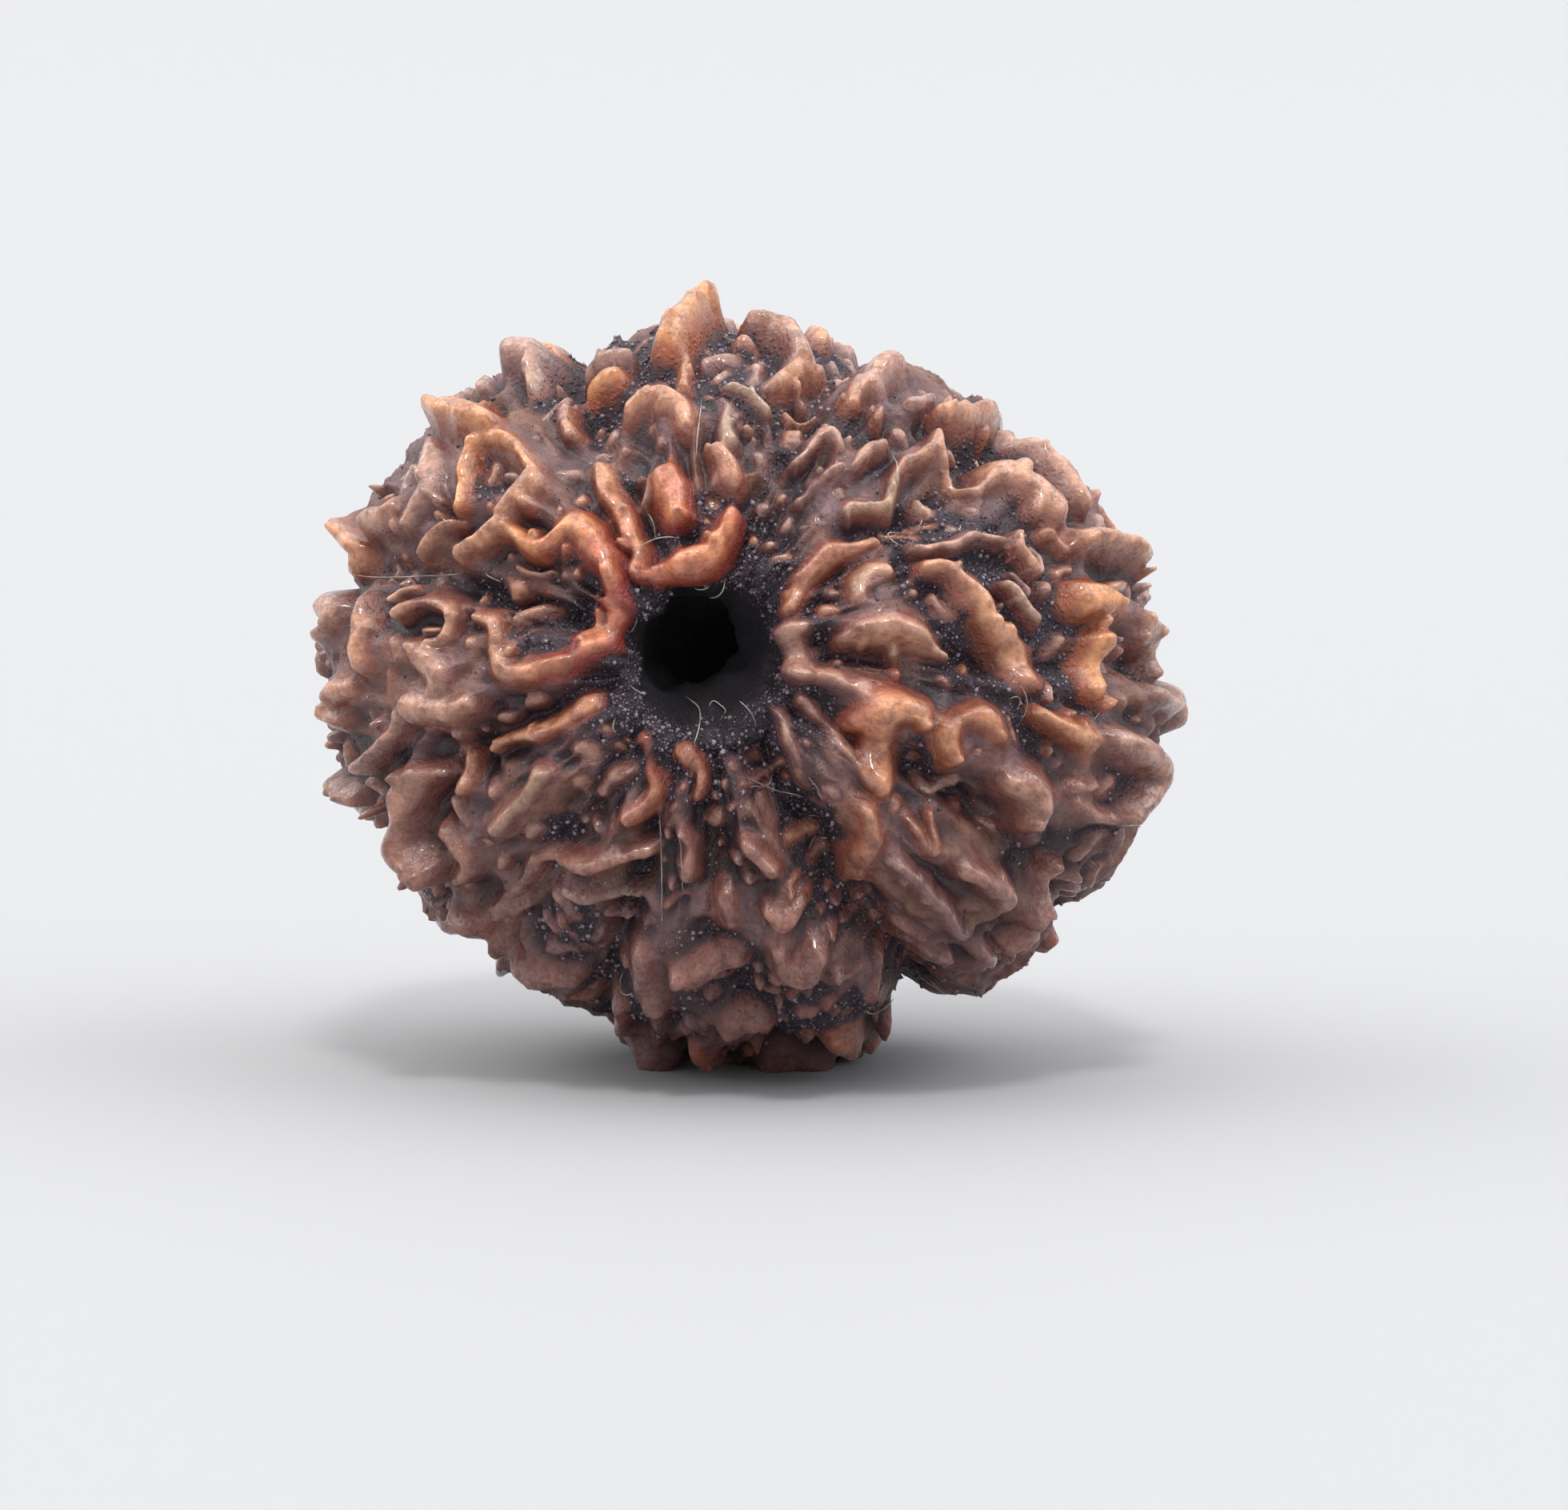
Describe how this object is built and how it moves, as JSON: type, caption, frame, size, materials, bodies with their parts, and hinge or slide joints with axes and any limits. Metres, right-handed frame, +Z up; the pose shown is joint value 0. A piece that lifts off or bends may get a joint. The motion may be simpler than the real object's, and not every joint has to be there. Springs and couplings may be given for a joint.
{
  "type": "rudraksha bead",
  "caption": "Natural seed bead: a warty, lobed fruit stone with a funnelled natural bore to thread it on a cord.",
  "frame": {"origin": "on the surface that the bead stands on, under the middle of its box", "axes": "+Z up; the bore runs along Y, its near mouth facing -Y and turned up by 11.5 degrees; +X to the right as seen from the near mouth"},
  "size_m": [0.0272, 0.0216, 0.0244],
  "materials": {
    "rudraksha_stone": "natural woody stone, oiled by handling, matt in its valleys"
  },
  "bodies": {
    "root": {"rudraksha_bead": "rudraksha_stone"}
  },
  "joints": []
}
